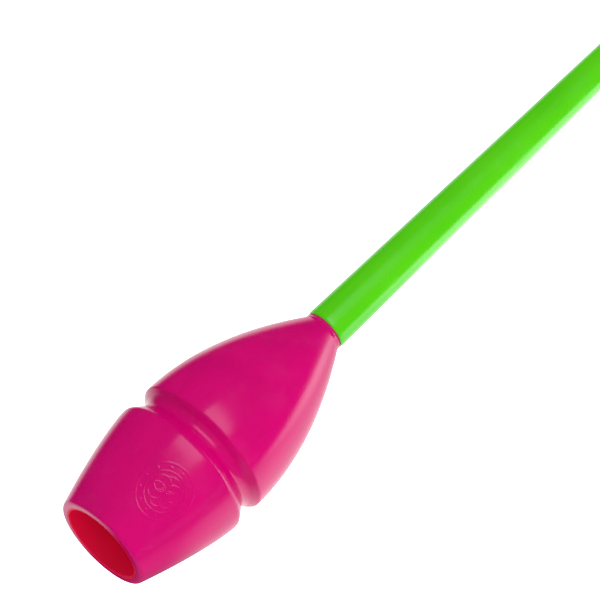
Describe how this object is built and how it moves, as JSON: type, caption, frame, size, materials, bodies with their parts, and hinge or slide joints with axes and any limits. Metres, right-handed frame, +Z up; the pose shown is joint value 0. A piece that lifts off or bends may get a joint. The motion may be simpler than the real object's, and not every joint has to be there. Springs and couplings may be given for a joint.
{
  "type": "gymnastics club",
  "caption": "Rhythmic gymnastics club lying on a floor: hollow grooved bulb with a ball socket in its mouth, tapered neck and two-colour ball head.",
  "frame": {"origin": "on the floor under the middle of the lying club, at the centre of the underside of its bounding box", "axes": "+Z up from the floor, +X from the mouth towards the ball along the club (its own axis dips 3 degrees towards the ball), +Y to the left of that direction; the club rests on the bulb's lip and on the ball"},
  "size_m": [0.4506, 0.0692, 0.0697],
  "materials": {
    "pink_moulding": "satin gloss magenta pink thermoplastic",
    "socket_moulding": "satin crimson pink thermoplastic",
    "green_moulding": "satin lime green soft-touch thermoplastic",
    "grip_rubber": "matt dark crimson elastomer",
    "inner_moulding": "natural off-white plastic",
    "tube_aluminium": "drawn tube",
    "screw_steel": "zinc plated",
    "insert_brass": "turned brass"
  },
  "bodies": {
    "root": {"bulb_shell": "pink_moulding", "socket_cup": "socket_moulding", "grip_ring": "grip_rubber", "bulkhead": "inner_moulding", "clamp_screw": "screw_steel", "screw_washer": "screw_steel", "thread_insert": "insert_brass", "core_tube": "tube_aluminium", "neck_sleeve": "green_moulding", "ball_core": "inner_moulding", "ball_cap": "pink_moulding"}
  },
  "joints": []
}
